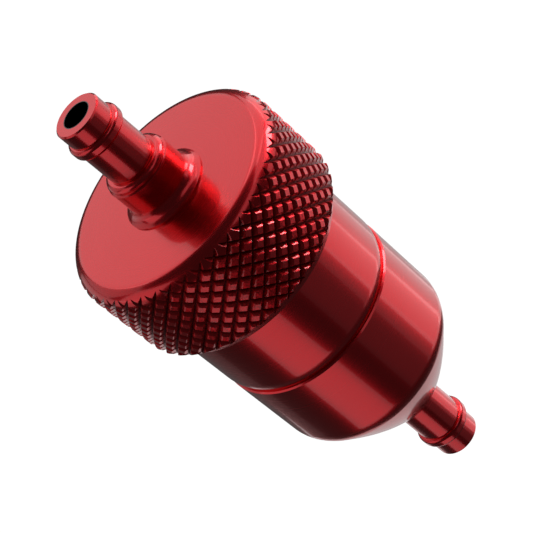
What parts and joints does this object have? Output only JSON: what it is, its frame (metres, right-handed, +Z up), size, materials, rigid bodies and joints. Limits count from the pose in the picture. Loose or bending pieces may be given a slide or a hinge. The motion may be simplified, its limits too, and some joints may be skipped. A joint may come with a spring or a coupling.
{
  "type": "inline fuel filter",
  "caption": "Turned inline fuel filter: cylindrical housing with a diamond-knurled screw cap, a beaded hose barb at each end and a washable sintered element inside.",
  "frame": {"origin": "centre of the outlet barb's bead, where the hose holds the filter", "axes": "+Z up the filter's axis from the outlet to the inlet; the housing is round, so X and Y are any two directions square to it"},
  "size_m": [0.033, 0.033, 0.0819],
  "materials": {
    "anodised_housing": "turned and red anodised, glossy",
    "anodised_cap": "diamond knurled and red anodised, glossy",
    "anodised_nipple": "turned and red anodised, glossy",
    "sintered_bronze": "porous sintered bronze",
    "gasket_rubber": "matt nitrile sheet",
    "spring_steel": "drawn stainless wire with ground ends",
    "washer_steel": "stamped stainless",
    "oring_rubber": "moulded fluoroelastomer"
  },
  "bodies": {
    "housing": {"bowl": "anodised_housing", "barrel": "anodised_housing", "filter_element": "sintered_bronze", "element_gasket": "gasket_rubber", "element_spring": "spring_steel", "barrel_oring": "oring_rubber", "cap_oring": "oring_rubber"},
    "washer": {"thrust_washer": "washer_steel"},
    "cap": {"knurled_cap": "anodised_cap", "inlet_nipple": "anodised_nipple"}
  },
  "joints": [
    {"name": "cap_lift", "type": "slide", "parent": "housing", "child": "washer", "axis": [0, 0, 1], "range_m": [0, 0.006], "deforming": ["element_spring"]},
    {"name": "cap_turn", "type": "hinge", "parent": "washer", "child": "cap", "pos_m": [0, 0, 0.057], "axis": [0, 0, 1], "range_deg": [0, 2160]}
  ],
  "couplings": [
    {"joint": "cap_lift", "follows": "cap_turn", "m_per_rad": 0.00015915}
  ]
}
